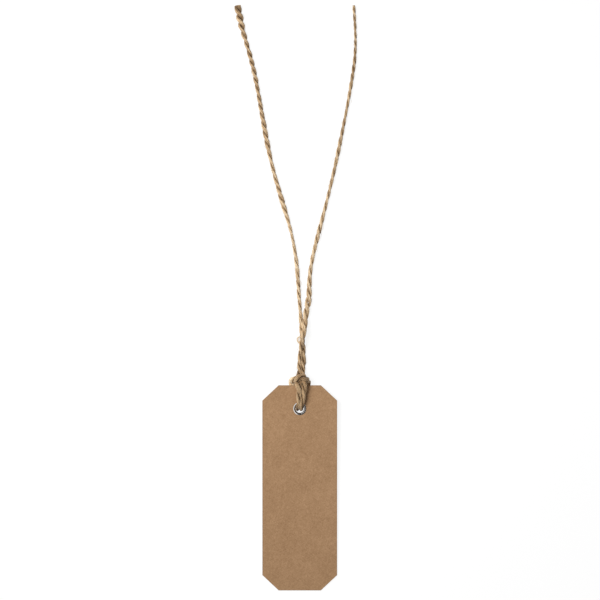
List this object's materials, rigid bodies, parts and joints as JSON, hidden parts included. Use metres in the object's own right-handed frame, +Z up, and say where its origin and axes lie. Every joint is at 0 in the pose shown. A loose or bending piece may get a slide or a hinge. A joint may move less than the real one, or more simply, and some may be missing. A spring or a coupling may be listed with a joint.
{
  "type": "gift tag",
  "caption": "Kraft card gift tag with clipped corners and a metal eyelet, hung on a doubled length of jute twine with a lark's-head hitch, for tying to a parcel.",
  "frame": {"origin": "middle of the card's box, on the surface that the tag lies on", "axes": "+Y along the card from its plain end to its eyelet end, +X to the right when its face is read with the eyelet end up, +Z up out of the surface"},
  "size_m": [0.0651, 0.314, 0.0066],
  "materials": {
    "kraft_card": "matt uncoated kraft board with fine fibre flecks",
    "eyelet_metal": "bright nickel-plated sheet",
    "jute": "natural two-ply jute with loose fibres"
  },
  "bodies": {
    "tag": {"tag_card": "kraft_card", "eyelet": "eyelet_metal"},
    "twine": {"twine_hitch": "jute", "twine_left_strand": "jute", "twine_right_strand": "jute"}
  },
  "joints": [
    {"name": "twine_swing", "type": "hinge", "parent": "tag", "child": "twine", "pos_m": [0, 0.04249, 0.00284], "axis": [0, -0.0261, 0.9997], "range_deg": [-12, 12]}
  ]
}
